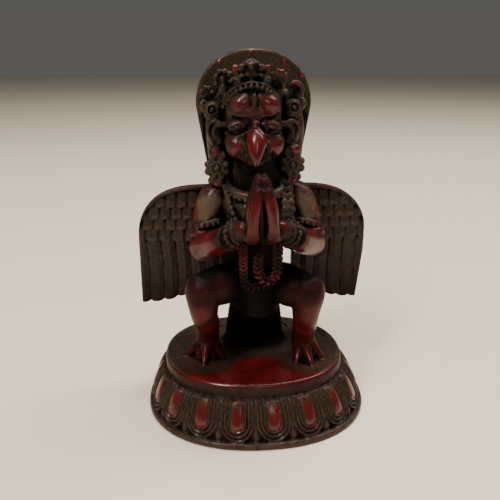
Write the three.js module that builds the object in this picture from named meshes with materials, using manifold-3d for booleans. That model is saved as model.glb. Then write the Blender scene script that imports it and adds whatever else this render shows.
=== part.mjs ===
// Garuda figure: a small resin casting of the bird-headed attendant, kneeling low with wings
// spread and hands pressed together, in one piece with its halo and its lotus plinth.
// Millimetres, +Z up, origin at the centre of the plinth's underside, the figure faces -Y.
import * as THREE from 'three';
import { mergeVertices } from 'three/addons/utils/BufferGeometryUtils.js';
import Module from 'manifold-3d';

const wasm = await Module();
wasm.setup();

// Plinth
const PLINTH_DEPTH = 70.4;
const OVAL_STRETCH = 4;
const OVAL_FULLNESS = 2.22;
const RIM_HEIGHT = 2.2;
const RIM_LEDGE = 1.2;
const LOTUS_HEIGHT = 12.6;
const LOTUS_FULLNESS = 1.45;
const NECK_INSET = 1.4;
const SLAB_THICKNESS = 4.8;
const SLAB_DEPTH = 55.6;
const SLAB_SHIFT = -1;
const SLAB_EDGE = 0.7;
const PETALS = 19;
const PETAL_PHASE = -0.05;
const PETAL_RELIEF = 1.5;
const SEAT = 0.4;

// Figure, halo and wings
const FIGURE_HEIGHT = 103.6;
const HALO_WIDTH = 39.2;
const HALO_THICKNESS = 2.8;
const WINGSPAN = 83.6;
const WING_THICKNESS = 3;
const WING_SWEEP = 1.6;
const FEATHER_RELIEF = 1.3;

const SLAB_TOP = RIM_HEIGHT + LOTUS_HEIGHT + SLAB_THICKNESS;
// The figure's own places are drawn on this scale, and grow with FIGURE_HEIGHT and WINGSPAN
const drawn = { height: 103.6, wingRoot: 8, wingReach: 41.6 };
const GROWTH = FIGURE_HEIGHT / drawn.height;
const ACROSS = new THREE.Vector3(1, 0, 0);
const DEEP = new THREE.Vector3(0, 1, 0);
const UP = new THREE.Vector3(0, 0, 1);

// A point of the figure: x to the side, y to the back, z above the slab, on the drawn scale
function at(x, y, z) {
  return new THREE.Vector3(x * GROWTH, y * GROWTH, SLAB_TOP + z * GROWTH);
}

// Move every vertex of a geometry to where the given function puts it
function mapped(geometry, place) {
  const spots = geometry.attributes.position;
  for (let i = 0; i < spots.count; i += 1) {
    const spot = place(spots.getX(i), spots.getY(i), spots.getZ(i));
    spots.setXYZ(i, spot.x, spot.y, spot.z);
  }
  return geometry;
}

// A rounded bar with a ring at each station [x, y, z, half width, half depth], or more rings between.
// Its width lies along the hint; a flute draws every other edge in, for pleats.
function limb(stations, sides, hint = ACROSS, rings = stations.length - 1, flute = 0) {
  const path = new THREE.CatmullRomCurve3(stations.map(([x, y, z]) => at(x, y, z)));
  const girth = new THREE.CatmullRomCurve3(
    stations.map(([, , , width, depth]) => new THREE.Vector3(width, depth, 0).multiplyScalar(GROWTH)));
  return mapped(new THREE.CylinderGeometry(1, 1, 1, sides, rings), (x, y, z) => {
    const share = THREE.MathUtils.clamp(y + 0.5, 0, 1);
    const along = path.getTangent(share);
    const wide = hint.clone().addScaledVector(along, -hint.dot(along)).normalize();
    const deep = wide.clone().cross(along);
    const edge = Math.round((Math.atan2(x, z) / (2 * Math.PI)) * sides);
    const size = girth.getPoint(share).multiplyScalar(edge % 2 === 0 ? 1 : 1 - flute);
    return path.getPoint(share).addScaledVector(wide, x * size.x).addScaledVector(deep, z * size.y);
  });
}

// An ellipsoid, leant sideways about Y, then turned about Z
function knob([x, y, z], [rx, ry, rz], columns = 8, rows = 6, turn = 0, lean = 0) {
  const ball = new THREE.SphereGeometry(1, columns, rows).rotateX(Math.PI / 2);
  ball.scale(rx * GROWTH, ry * GROWTH, rz * GROWTH).rotateY(lean).rotateZ(turn);
  const centre = at(x, y, z);
  return ball.translate(centre.x, centre.y, centre.z);
}

// A faceted bead
function bead([x, y, z], radius) {
  const centre = at(x, y, z);
  return new THREE.IcosahedronGeometry(radius * GROWTH).translate(centre.x, centre.y, centre.z);
}

// A string of beads along a curve through the given points
function beads(points, count, radius) {
  const path = new THREE.CatmullRomCurve3(points.map(([x, y, z]) => new THREE.Vector3(x, y, z)));
  return Array.from({ length: count }, (_, i) => bead(path.getPointAt(i / (count - 1)).toArray(), radius));
}

// A cord along a curve, ribbed by rings of two sizes in turn
function cord(points, ribs, thick, thin) {
  const path = new THREE.CatmullRomCurve3(points.map(([x, y, z]) => new THREE.Vector3(x, y, z)));
  return limb(Array.from({ length: 2 * ribs + 1 }, (_, i) => {
    const size = i % 2 === 0 ? thin : thick;
    return [...path.getPointAt(i / (2 * ribs)).toArray(), size, size];
  }), 5, DEEP);
}

// A closed ring round a bar: radii across and deep, its own thickness, facing along a direction
function bangle([x, y, z], [rx, ry], thickness, direction, columns = 12) {
  const ring = new THREE.TorusGeometry(1, thickness / Math.max(rx, ry), 5, columns);
  ring.scale(rx * GROWTH, ry * GROWTH, Math.max(rx, ry) * GROWTH);
  ring.applyQuaternion(new THREE.Quaternion().setFromUnitVectors(UP, direction.clone().normalize()));
  const centre = at(x, y, z);
  return ring.translate(centre.x, centre.y, centre.z);
}

// A flower facing the front: scalloped petals, a groove and a round boss
function rosette([x, y, z], radius, petals) {
  const profile = [[0, 0.4], [0.85, 0.4], [1, -0.1], [0.5, -0.2], [0.36, -0.6], [0, -0.72]];
  const disc = new THREE.LatheGeometry(profile.map(([r, h]) => new THREE.Vector2(r, -h)), petals * 2);
  const centre = at(x, y, z);
  return mapped(disc.rotateX(Math.PI / 2), (u, v, h) => {
    const reach = Math.hypot(u, v);
    const scallop = reach > 0.7 ? 1 + 0.07 * Math.cos(Math.atan2(v, u) * petals) : 1;
    return new THREE.Vector3(u * scallop, -h, v * scallop).multiplyScalar(radius * GROWTH).add(centre);
  });
}

// Half depth of the lotus at a share of its height: full at its foot, drawn in under the slab
function lotusRadius(share) {
  const foot = PLINTH_DEPTH / 2 - RIM_LEDGE - PETAL_RELIEF;
  const neck = SLAB_DEPTH / 2 - NECK_INSET;
  return neck + (foot - neck) * (1 - share ** LOTUS_FULLNESS) ** (1 / LOTUS_FULLNESS);
}

// The rounded oval that every level of the plinth follows, from half its depth
function oval(radius, angle, z) {
  const across = Math.cos(angle);
  const deep = Math.sin(angle);
  const full = (Math.abs(across) ** OVAL_FULLNESS + Math.abs(deep) ** OVAL_FULLNESS) ** (-1 / OVAL_FULLNESS);
  const length = radius > 0 ? radius + OVAL_STRETCH : 0;
  return new THREE.Vector3(length * across * full + SLAB_SHIFT * (z / SLAB_TOP), radius * deep * full, z);
}

// A disc of the plinth from a profile of [half depth, height]
function ovalDisc(profile, columns) {
  const disc = new THREE.LatheGeometry(profile.map(([r, z]) => new THREE.Vector2(r, z)), columns);
  return mapped(disc.rotateX(Math.PI / 2), (x, y, z) => oval(Math.hypot(x, y), Math.atan2(y, x), z));
}

// The lotus: down-turned petals, each with a raised edge, a keel and a bud low in the gap beside it.
// A petal has four columns from gap to gap; its rows run from the ledge up to the neck.
function lotus() {
  const columns = [1, 0.7, 0, -0.7];
  const rows = 5;
  const ring = new THREE.CylinderGeometry(1, 1, rows - 1, PETALS * columns.length, rows - 1);
  return mapped(ring.rotateX(Math.PI / 2), (x, y, z) => {
    const step = Math.round((Math.atan2(y, x) / (2 * Math.PI)) * PETALS * columns.length);
    const u = columns[(step + PETALS * columns.length) % columns.length];
    const middle = Math.floor(step / columns.length) + 0.5;
    const angle = ((middle - 0.5 * u - PETAL_PHASE) / PETALS) * 2 * Math.PI;
    const row = Math.round(z + (rows - 1) / 2);
    const gap = u === 1;
    const tip = gap ? 0.14 : 0.07 + 0.28 * (1 - Math.sqrt(1 - u * u));
    const share = [0, tip, gap ? 0.34 : tip + 0.06, 0.6, 1][row];
    const crest = gap ? 0 : 1;
    const out = PETAL_RELIEF * [0, gap ? 0.9 : 0, crest, u === 0 ? 1.35 : crest, 0][row];
    const radius = Math.hypot(x, y) < 0.5 ? 0 : lotusRadius(share) + out;
    return oval(radius, angle, RIM_HEIGHT - SEAT + (LOTUS_HEIGHT + 2 * SEAT) * share);
  });
}

// The plinth: plain rim, the lotus and the slab the figure stands on
function plinth() {
  const rim = PLINTH_DEPTH / 2;
  const slab = SLAB_DEPTH / 2;
  const slabFoot = RIM_HEIGHT + LOTUS_HEIGHT;
  const columns = 40;
  return [
    ovalDisc([[0, 0], [rim - SLAB_EDGE, 0], [rim, SLAB_EDGE], [rim - SLAB_EDGE / 2, RIM_HEIGHT],
      [0, RIM_HEIGHT]], columns),
    lotus(),
    ovalDisc([[0, slabFoot], [slab - SLAB_EDGE, slabFoot], [slab, slabFoot + SLAB_EDGE],
      [slab, SLAB_TOP - SLAB_EDGE], [slab - SLAB_EDGE, SLAB_TOP], [0, SLAB_TOP]], columns),
  ];
}

// A bird's foot: three toes forward and one back, all flat on the slab
function foot(side, [ankleX, ankleY]) {
  const parts = [];
  for (const [angle, reach] of [[-0.8, 8.6], [0, 10.2], [0.8, 8.6], [Math.PI, 6.5]]) {
    const lean = angle + side * 0.12;
    const step = (share, z, size) =>
      [ankleX + Math.sin(lean) * reach * share, ankleY - Math.cos(lean) * reach * share, z, size, size];
    const stations = [step(0, 2.2, 2.2), step(0.45, 2.4, 1.9), step(0.75, 1.4, 1.6), step(1.04, 0.4, 0.5)];
    parts.push(limb(stations, 4, UP));
  }
  return parts;
}

// One leg, bent deeply: thigh forward and out to the knee, shin down and back to the ankle
function leg([kneeX, kneeY, kneeZ], [ankleX, ankleY]) {
  const side = Math.sign(kneeX);
  return [
    limb([[side * 2, 1, 25.6, 5, 6], [side * 8, -4, 27.2, 6.6, 7.2],
      [kneeX * 0.68, kneeY * 0.66, kneeZ - 1.8, 6.8, 7], [kneeX * 0.94, kneeY * 0.94, kneeZ - 2, 5.6, 5.6],
      [kneeX * 1.06, kneeY * 1.06, kneeZ - 3, 3, 3.4]], 9, UP),
    limb([[kneeX * 0.97, kneeY * 0.98, kneeZ + 4, 1.6, 1.6], [kneeX, kneeY, kneeZ + 2.4, 4.6, 4.6],
      [kneeX, kneeY, kneeZ - 2, 6, 6.1], [kneeX * 0.98, kneeY * 0.95, kneeZ * 0.66, 4.8, 5.3],
      [ankleX, ankleY * 1.2, kneeZ * 0.38, 4.2, 4.5], [ankleX, ankleY, 5, 4.1, 4.3],
      [ankleX, ankleY - 0.6, -0.6, 4.4, 4.5]], 10),
    ...foot(side, [ankleX, ankleY]),
  ];
}

// Belly, narrow waist, chest and neck as one rounded column
function torso() {
  return [
    limb([[0, -1, 20, 6, 5], [-1, -2, 26, 10, 9.6], [-1.6, -2.6, 32, 10, 10.2], [-1.8, -2, 37, 9.6, 9.8],
      [-0.8, 0.4, 45, 11, 12], [0, 1.4, 53, 13, 12.4], [0, 1.4, 58.5, 12.4, 10.4], [-0.5, 0, 63, 8.4, 7.6],
      [-1, -1.5, 70, 6.6, 6.6]], 10),
  ];
}

// Belt, hanging folds of the loincloth and the pleated tail that reaches down to the slab
function loincloth() {
  const parts = [
    limb([[-0.6, -3, 30.6, 9.4, 9.6], [-0.6, -3, 29.8, 10.8, 10.8], [-0.6, -3, 28, 10.8, 10.8],
      [-0.6, -3, 27, 9, 9], [-0.4, -3, 22, 7.6, 8], [0, -0.6, 16.4, 6, 4.6]], 10),
  ];
  for (const [drop, reach] of [[24, 9.4], [20.4, 7.8]]) {
    parts.push(limb([[-reach, -5.6, drop + 2.4, 1.4, 1.2], [-reach * 0.5, -9.8, drop + 0.4, 1.6, 1.4],
      [reach * 0.5, -9.8, drop + 0.4, 1.6, 1.4], [reach, -5.6, drop + 2.4, 1.4, 1.2]], 5, UP, 4));
  }
  parts.push(limb([[0, 3.4, 29, 8, 4], [0, 5.4, 16, 9, 4.4], [0, 7.4, -0.4, 11.4, 5]], 18, ACROSS, 2, 0.18));
  return parts;
}

// One arm: upper arm with its band down to the elbow, forearm forward and in to the cuff and wrist
function arm(side) {
  const elbow = side > 0 ? 41.4 : 40.6;
  return [
    limb([[side * 10, 1, 59, 3, 3.6], [side * 14, 0.4, 56.4, 5, 5.2], [side * 17, -1.6, 48.4, 4.9, 4.8],
      [side * 17.2, -2.1, 47.6, 5.9, 5.7], [side * 17.6, -2.9, 45.6, 5.9, 5.7],
      [side * 17.7, -3.2, 45, 4.6, 4.5], [side * 18.8, -6, elbow, 3.6, 3.8]], 8),
    limb([[side * 21.8, -3.6, elbow - 0.6, 1.6, 1.6], [side * 20.8, -4.4, elbow - 0.5, 3.6, 3.4],
      [side * 18.6, -6.6, elbow, 4.5, 4.3], [side * 14, -13.2, 44.2, 4.3, 4.2],
      [side * 10.6, -18.2, 47.4, 3.8, 3.6], [side * 10.4, -18.5, 47.6, 4.6, 4.4],
      [side * 8.6, -20.7, 49.1, 4.5, 4.2], [side * 8.3, -21, 49.4, 3.5, 3.3],
      [side * 5, -24, 51.6, 2.8, 3]], 8, UP),
    knob([side * 22.6, -6, 45], [1.1, 1.7, 3.2], 6, 3, 0, side * 0.2),
    knob([side * 9.4, -22.4, 53], [1.6, 1.1, 2.6], 6, 3, 0, -side * 0.5),
  ];
}

// One hand held upright, thumb edge to the front, palm towards the other hand
function hand(side) {
  return [
    limb([[side * 3.4, -25.4, 48.4, 2, 2.8], [side * 3.2, -26.4, 52, 2.7, 4.3],
      [side * 2.9, -26.8, 57.4, 2.3, 4.6], [side * 2.1, -26.4, 63.4, 1.8, 3.6],
      [side * 1.4, -26, 67, 1.2, 2], [side * 1.1, -26, 68.4, 0.6, 0.8]], 8),
    limb([[side * 3.3, -29.6, 51, 1.2, 1], [side * 2.7, -30.6, 57, 1.4, 1.2],
      [side * 1.6, -29.4, 64.4, 0.8, 0.6]], 5),
  ];
}

// Torque, shoulder strands and the rosary looped over the wrists
function jewellery() {
  const parts = [bangle([-0.6, -2.2, 61.4], [9.2, 8.8], 1.5, new THREE.Vector3(0, -0.35, 1), 10)];
  for (const side of [-1, 1]) {
    parts.push(...beads([[side * 9.8, -4.6, 59.6], [side * 9, -7.8, 53], [side * 7.6, -8.4, 47]], 5, 1.7));
  }
  parts.push(cord([[-6, -22, 48.4], [-6.2, -17.6, 40], [-5.8, -15.2, 31], [-3.4, -14.2, 28.2],
    [1.4, -14, 28.4]], 8, 1.5, 1.1));
  parts.push(cord([[-1, -18, 42], [-0.4, -16.6, 35.4], [2.6, -16, 32.2], [5.6, -16.4, 35],
    [6.6, -18, 41.6], [6, -21.4, 47]], 8, 1.6, 1.2));
  return parts;
}

// Skull, brows, eyes, forehead mark, cheeks, hooked beak and long ears
function head() {
  const middle = -1;
  const parts = [
    knob([middle, -1.6, 79.6], [9.2, 9.4, 12], 10, 7),
    limb([[middle, -7, 82, 0.9, 1.4], [middle, -12.4, 80.4, 2.2, 2.4], [middle - 0.1, -15.4, 78, 3, 3],
      [middle - 0.2, -17.2, 75, 3.2, 3.2], [middle - 0.4, -18.7, 72.4, 2.2, 2.2],
      [middle - 0.5, -19, 70, 0.5, 0.5]], 8),
    knob([middle, -11, 72.2], [4.4, 5.4, 2.8], 8, 4),
    knob([middle, -10, 87.8], [1, 1.2, 2.6], 4, 4),
  ];
  for (const side of [-1, 1]) {
    parts.push(knob([middle + side * 5.8, -7, 74], [4, 4.8, 4.9], 8, 5, 0, side * 0.3));
    parts.push(knob([middle + side * 4.2, -7.4, 87], [3.8, 3.4, 3.4], 6, 4, 0, side * 0.5));
    parts.push(knob([middle + side * 4.7, -9.8, 79.8], [2.3, 1.5, 1.5], 6, 4, 0, -side * 0.15));
    parts.push(limb([[middle + side * 1.2, -12, 81.4, 0.8, 0.8], [middle + side * 4.6, -11.2, 83.4, 1.1, 1.1],
      [middle + side * 8.2, -7.8, 82.6, 0.6, 0.6]], 4, UP));
    parts.push(limb([[middle + side * 8, -3, 81.4, 1.2, 1], [side * 13.2, -2.6, 80.6, 1.5, 1.3],
      [side * 13.4, -2.8, 76.6, 1.6, 1.4], [side * 11.4, -3.8, 72, 1.3, 1.3]], 5, DEEP));
    parts.push(knob([side * 12 - 0.4, -3.6, 70.8], [2.2, 1.6, 1.5], 6, 3));
    parts.push(rosette([side * 12.1 - 0.4, -4, 66.2], 3.7, 6));
  }
  return parts;
}

// One leaf of the crown, a pointed arch with a boss, leaning out from the band
function crownLeaf([x, y, z], width, height, turn) {
  const shape = new THREE.Shape();
  shape.moveTo(-0.7, 0);
  shape.lineTo(-1.05, 0.55);
  shape.lineTo(-0.55, 0.82);
  shape.lineTo(0, 1);
  shape.lineTo(0.55, 0.82);
  shape.lineTo(1.05, 0.55);
  shape.lineTo(0.7, 0);
  const size = GROWTH * width * 0.5;
  const tall = GROWTH * height;
  const leaf = new THREE.ExtrudeGeometry(shape, { depth: 5.4 * GROWTH, bevelEnabled: false });
  leaf.rotateX(Math.PI / 2).scale(size, 1, tall).translate(0, 3 * GROWTH, 0);
  const boss = new THREE.SphereGeometry(1, 6, 4).rotateX(Math.PI / 2);
  boss.scale(size * 0.62, 1.4 * GROWTH, tall * 0.26).translate(0, -2.2 * GROWTH, tall * 0.45);
  const root = at(x, y, z);
  return [leaf, boss].map((form) => form.rotateX(0.25).rotateY(turn).translate(root.x, root.y, root.z));
}

// Beaded band over the brow, five leaves, two curled prongs, a flower and ribbon at each ear
function crown() {
  const middle = -1.6;
  const parts = [
    limb([[middle - 9.6, -1, 83, 1.1, 1.2], [middle - 7.8, -6.4, 88.4, 1.2, 1.2], [middle, -10, 91, 1.2, 1.2],
      [middle + 7.8, -6.4, 88.4, 1.2, 1.2], [middle + 9.6, -1, 83, 1.1, 1.2]], 5, UP, 8),
    knob([-1.4, 2, 90], [10, 8.6, 7], 8, 5),
    ...crownLeaf([-2.2, -4.6, 91.6], 7.4, 9, 0),
    ...crownLeaf([-11.2, -1.6, 90.2], 6.2, 8, -0.2),
    ...crownLeaf([7.2, -1.6, 90.6], 6.2, 8, 0.2),
    ...crownLeaf([-15.4, 7.6, 86.6], 5.2, 6.4, -0.3),
    ...crownLeaf([14, 7.6, 87], 5.2, 6.4, 0.3),
  ];
  for (const side of [-1, 1]) {
    const x = -2.2;
    parts.push(limb([[x + side * 3.6, -6, 91.6, 0.9, 0.9], [x + side * 5, -6.4, 96.4, 1.2, 1.2],
      [x + side * 5.6, -7, 99.6, 0.8, 0.8]], 5));
    parts.push(rosette([side * 12.4 - 1.2, -1, 84.2], 3.5, 6));
    parts.push(limb([[side * 10, 6, 90, 2, 2], [side * 12.6, 4.6, 80, 3.4, 6], [side * 13, 4, 70, 2.8, 6.4],
      [side * 11, 5, 56, 2, 3]], 6));
  }
  return parts;
}

// The arch-topped panel behind the head
function halo() {
  const half = HALO_WIDTH / 2;
  const rise = 18.4 * GROWTH;
  const centre = FIGURE_HEIGHT - rise;
  const waist = centre - 18 * GROWTH;
  const shape = new THREE.Shape();
  shape.moveTo(-half * 0.7, 54 * GROWTH);
  shape.lineTo(half * 0.7, 54 * GROWTH);
  shape.lineTo(half * 0.84, waist);
  const steps = 18;
  for (let i = 0; i <= steps; i += 1) {
    const angle = (i / steps) * Math.PI;
    const across = Math.cos(angle);
    shape.lineTo(half * Math.sign(across) * Math.abs(across) ** 0.9, centre + rise * Math.sin(angle) ** 0.92);
  }
  shape.lineTo(-half * 0.84, waist);
  const panel = new THREE.ExtrudeGeometry(shape, { depth: HALO_THICKNESS, bevelEnabled: false });
  return panel.rotateX(Math.PI / 2).translate(0, 10 * GROWTH + HALO_THICKNESS, SLAB_TOP);
}

// The flat plane that both wings end in at the back
function wingBack() {
  return 12 * GROWTH + WING_THICKNESS;
}

// A place on a wing: distance out, height over the slab and distance forward of its face,
// which lies further back towards the wing's end
function onWing(side, x, z, out) {
  const stretch = (WINGSPAN / 2 - drawn.wingRoot * GROWTH) / (drawn.wingReach - drawn.wingRoot);
  const outward = x < drawn.wingRoot ? x * GROWTH : drawn.wingRoot * GROWTH + (x - drawn.wingRoot) * stretch;
  const face = wingBack() - WING_THICKNESS + (WING_SWEEP * x) / drawn.wingReach;
  return new THREE.Vector3(side * outward, face - out, SLAB_TOP + z * GROWTH);
}

// The rows of a wing from its lower edge up. Each row of feathers has a line just under its tips
// and a line on them; a feather is two columns wide, so its neighbours above sit over its edges.
function wingRows() {
  const rows = [{ tip: true, scallop: 1.3, crest: 0.9, edge: 0.1 }];
  [37.6, 41.4, 45.2, 49.2].forEach((level, i) => {
    rows.push({ level: level - 0.5, odd: i % 2, scallop: 1.7, crest: 0.3, edge: 0.1 });
    rows.push({ level, odd: i % 2, scallop: 1.7, crest: 1.5 + 0.1 * i, edge: 0.9 });
  });
  rows.push({ level: 54.2, crest: 0.5, edge: 0.3 });
  rows.push({ level: 54.8, crest: 1.7, edge: 1.7 });
  rows.push({ level: 57.4, crest: 1.1, edge: 1.1 });
  return rows;
}

// One wing as a carved panel: a grid of columns and rows moved onto its outline, front and back
function wing(side) {
  const columns = 15;
  const rows = wingRows();
  const inner = side < 0 ? 10.4 : 14.2;
  const first = 15;
  const lean = side < 0 ? 0 : 2;
  const panel = new THREE.BoxGeometry(columns, 1, rows.length - 1, columns, 1, rows.length - 1);
  mapped(panel, (gridX, gridY, gridZ) => {
    const column = Math.round(gridX + columns / 2);
    const number = Math.round(gridZ + (rows.length - 1) / 2);
    const row = rows[number];
    const share = (column - 1) / (columns - 1);
    const reach = Math.max(share, 0);
    const top = 38 + 19.6 * (1 - reach ** 3) ** (1 / 2.2);
    const bottom = 13 + 9 * (1 - reach) ** 2.4;
    const middle = (column + (row.odd || 0)) % 2 === 1;
    const lift = middle || column === 0 ? 0 : row.scallop || 0;
    const level = row.tip ? bottom + lift : row.level + lift;
    const z = Math.min(level, top - 0.35 * (rows.length - 1 - number));
    const root = THREE.MathUtils.lerp(inner, -0.4, THREE.MathUtils.clamp((z - 38) / 8, 0, 1));
    const waver = 0.5 * Math.sin((z - 14) * 0.16);
    const spread = drawn.wingReach - lean * Math.max(0, (32 - z) / 18) - first;
    const x = column === 0 ? root : first + share * spread + waver * (1 - share);
    const out = middle ? row.crest : row.edge;
    return onWing(side, x, z, gridY < 0 ? out * FEATHER_RELIEF : -2 * WING_THICKNESS);
  });
  return side < 0 ? flipped(panel) : panel;
}

// The space behind the wings, cut away so their backs are flat
function behindWings() {
  const depth = 4 * WING_THICKNESS;
  const space = new THREE.BoxGeometry(2 * WINGSPAN, depth, 2 * FIGURE_HEIGHT);
  return space.translate(0, wingBack() + depth / 2, SLAB_TOP + FIGURE_HEIGHT);
}

// Turn a mirrored geometry's faces outward again
function flipped(geometry) {
  geometry.index.array.reverse();
  return geometry;
}

// Turn one closed geometry into a solid
function solid(geometry) {
  const bare = geometry.clone();
  bare.deleteAttribute('normal');
  bare.deleteAttribute('uv');
  const shared = mergeVertices(bare, 1e-4);
  const corners = [];
  const order = shared.index.array;
  for (let i = 0; i < order.length; i += 3) {
    const [a, b, c] = [order[i], order[i + 1], order[i + 2]];
    if (a !== b && b !== c && c !== a) {
      corners.push(a, b, c);
    }
  }
  return new wasm.Manifold(new wasm.Mesh({
    numProp: 3,
    vertProperties: new Float32Array(shared.attributes.position.array),
    triVerts: new Uint32Array(corners),
  }));
}

// Join every form into the one casting, less what is cut away
function cast(forms, cut) {
  const whole = forms.map(solid).reduce((sum, next) => sum.add(next)).subtract(solid(cut));
  const result = whole.getMesh();
  const geometry = new THREE.BufferGeometry();
  geometry.setAttribute('position', new THREE.BufferAttribute(new Float32Array(result.vertProperties), 3));
  geometry.setIndex(new THREE.BufferAttribute(new Uint32Array(result.triVerts), 1));
  geometry.computeVertexNormals();
  return geometry;
}

const forms = [
  ...plinth(),
  ...leg([-18.8, -15, 30], [-17.4, -3.6]),
  ...leg([15.9, -15, 28.6], [16, -7]),
  ...torso(),
  ...loincloth(),
  ...arm(-1),
  ...arm(1),
  ...hand(-1),
  ...hand(1),
  ...jewellery(),
  ...head(),
  ...crown(),
  halo(),
  wing(-1),
  wing(1),
];

const resin = new THREE.MeshStandardMaterial({ color: 0x3a1512, roughness: 0.45, metalness: 0 });
const garuda = new THREE.Mesh(cast(forms, behindWings()), resin);
garuda.name = 'garuda_figure';

const group = new THREE.Group();
group.add(garuda);

export default group;
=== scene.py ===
"""Garuda figure: a small casting in dark red resin of the bird-headed attendant, crouching with
wings spread and hands pressed together, in one piece with its halo and its lotus plinth."""
import math

import bmesh
import bpy
import numpy as np
from mathutils import Matrix, Vector
from mathutils.bvhtree import BVHTree


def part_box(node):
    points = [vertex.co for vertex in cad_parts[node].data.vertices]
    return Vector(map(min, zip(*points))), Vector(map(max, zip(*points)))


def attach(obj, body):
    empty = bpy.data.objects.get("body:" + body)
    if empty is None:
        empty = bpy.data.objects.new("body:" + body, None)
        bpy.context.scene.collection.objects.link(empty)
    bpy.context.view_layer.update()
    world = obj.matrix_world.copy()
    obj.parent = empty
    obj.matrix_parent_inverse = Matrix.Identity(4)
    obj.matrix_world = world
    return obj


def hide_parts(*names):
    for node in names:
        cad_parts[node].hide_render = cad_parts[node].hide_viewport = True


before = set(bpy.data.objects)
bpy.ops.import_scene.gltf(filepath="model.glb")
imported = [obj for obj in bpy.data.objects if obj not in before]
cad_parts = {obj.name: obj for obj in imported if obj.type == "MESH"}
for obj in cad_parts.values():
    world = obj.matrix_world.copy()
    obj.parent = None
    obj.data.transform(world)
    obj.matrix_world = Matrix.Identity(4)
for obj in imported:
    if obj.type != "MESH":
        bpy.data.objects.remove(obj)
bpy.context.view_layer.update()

# Plinth disc and slab
# The casting stands on a rounded oval lotus base: a thin plain rim at its foot and a smooth slab
# on top. Everything is cast in one mould, so the forms, in millimetres, are joined at the end.
MM = 0.001
low, high = [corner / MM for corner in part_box("garuda_figure")]
PLINTH_DEPTH = high.y - low.y
OVAL_STRETCH = 4
OVAL_FULLNESS = 2.22
RIM_HEIGHT = 2.2
RIM_LEDGE = 1.2
LOTUS_HEIGHT = 12.6
SLAB_THICKNESS = 4.8
SLAB_DEPTH = 55.6
SLAB_SHIFT = -1
SLAB_TOP = RIM_HEIGHT + LOTUS_HEIGHT + SLAB_THICKNESS

casting = bmesh.new()
forms = []


def poured(section):
    """Keep a section that is finished, and start the next one."""
    bmesh.ops.recalc_face_normals(section, faces=section.faces)
    form = bpy.data.meshes.new("form")
    section.to_mesh(form)
    section.free()
    forms.append(form)
    return bmesh.new()


def move(verts, place):
    """Put every vertex where the given function says."""
    for vert in verts:
        vert.co = place(vert.co)


def oval(radius, angle, z):
    """A place on the rounded oval that every level of the plinth follows, from half its depth."""
    across, deep = math.cos(angle), math.sin(angle)
    full = (abs(across) ** OVAL_FULLNESS + abs(deep) ** OVAL_FULLNESS) ** (-1 / OVAL_FULLNESS)
    length = radius + OVAL_STRETCH * min(1, radius / 10)
    return Vector((length * across * full + SLAB_SHIFT * z / SLAB_TOP, radius * deep * full, z))


def oval_disc(profile, columns=200):
    """A disc of the plinth, raised ring by ring through a profile of (half depth, height)."""
    radius, z = profile[0]
    ring = bmesh.ops.create_circle(casting, cap_ends=True, segments=columns, radius=radius)["verts"]
    bmesh.ops.translate(casting, verts=ring, vec=(0, 0, z))
    made = list(ring)
    face = ring[0].link_faces[0]
    first = True
    for next_radius, next_z in profile[1:]:
        raised = bmesh.ops.extrude_face_region(casting, geom=[face], use_keep_orig=first)["geom"]
        first = False
        face = [part for part in raised if isinstance(part, bmesh.types.BMFace)][0]
        bmesh.ops.scale(casting, verts=face.verts, vec=(next_radius / radius, next_radius / radius, 1))
        bmesh.ops.translate(casting, verts=face.verts, vec=(0, 0, next_z - z))
        made += face.verts
        radius, z = next_radius, next_z
    move(made, lambda co: oval(math.hypot(co.x, co.y), math.atan2(co.y, co.x), co.z))


rim = PLINTH_DEPTH / 2
oval_disc([(rim - 0.6, 0), (rim - 0.1, 0.4), (rim, 0.9), (rim - 0.1, 1.7), (rim - 0.5, 2.1),
           (rim - 1.4, RIM_HEIGHT)])
slab = SLAB_DEPTH / 2
slab_foot = RIM_HEIGHT + LOTUS_HEIGHT - 0.4
oval_disc([(slab - 0.9, slab_foot), (slab - 0.2, slab_foot + 0.5), (slab, slab_foot + 1.4),
           (slab - 0.1, SLAB_TOP - 1.3), (slab - 0.35, SLAB_TOP - 0.6), (slab - 0.9, SLAB_TOP - 0.12),
           (slab - 1.8, SLAB_TOP)])
casting = poured(casting)

# Lotus
# A ring of nineteen down-turned petals between rim and slab. Each has a raised oval boss with ridges
# running round it, and in the gap beside it a stem that ends in a bud just over the rim.
PETALS = 19
PETAL_COLUMNS = 48
PETAL_ROWS = 72
PETAL_HALF = 5.7
PETAL_FACE = 16.0
PETAL_TURN = 5.4
PETAL_PHASE = -0.05
BOSS_HALF = 2.0
BOSS_TOP = 13.4
RIDGES = 3
RIDGE_PITCH = 1.15
LOTUS_FULLNESS = 1.45
NECK_INSET = 1.4
PETAL_RELIEF = 1.5


def petal_height(u, up):
    """Height of the carving at u, -1 to 1 across a petal, and a distance up its face."""
    x = abs(u) * PETAL_HALF
    reach = x if up > PETAL_TURN else math.hypot(x, PETAL_TURN - up)
    edge = BOSS_HALF + RIDGES * RIDGE_PITCH
    height = 0.5
    if reach < edge:
        ridge = (reach - BOSS_HALF) / RIDGE_PITCH % 1
        height = 0.4 + 1.4 * (0.5 - 0.5 * math.cos(2 * math.pi * ridge)) ** 0.7
    boss = max(reach, math.hypot(x, max(0, up - BOSS_TOP)))
    if boss < BOSS_HALF:
        height = 1.2 + 0.8 * math.sqrt(1 - (boss / BOSS_HALF) ** 6)
    elif reach < BOSS_HALF:
        height = 0.6
    stem = 1.3 - 3 * (PETAL_HALF - x) ** 2
    if up > 2.4:
        height = max(height, stem)
    bud = 1 - ((PETAL_HALF - x) / (1.05 - 0.2 * (up - 1.6))) ** 2 - ((up - 1.8) / 1.5) ** 2
    if bud > 0:
        height = max(height, 0.7 + 0.9 * math.sqrt(bud))
    fade = min(1, (PETAL_FACE - up) / 0.8, up / 0.4 + 0.3)
    return height * max(0, fade)


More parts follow.
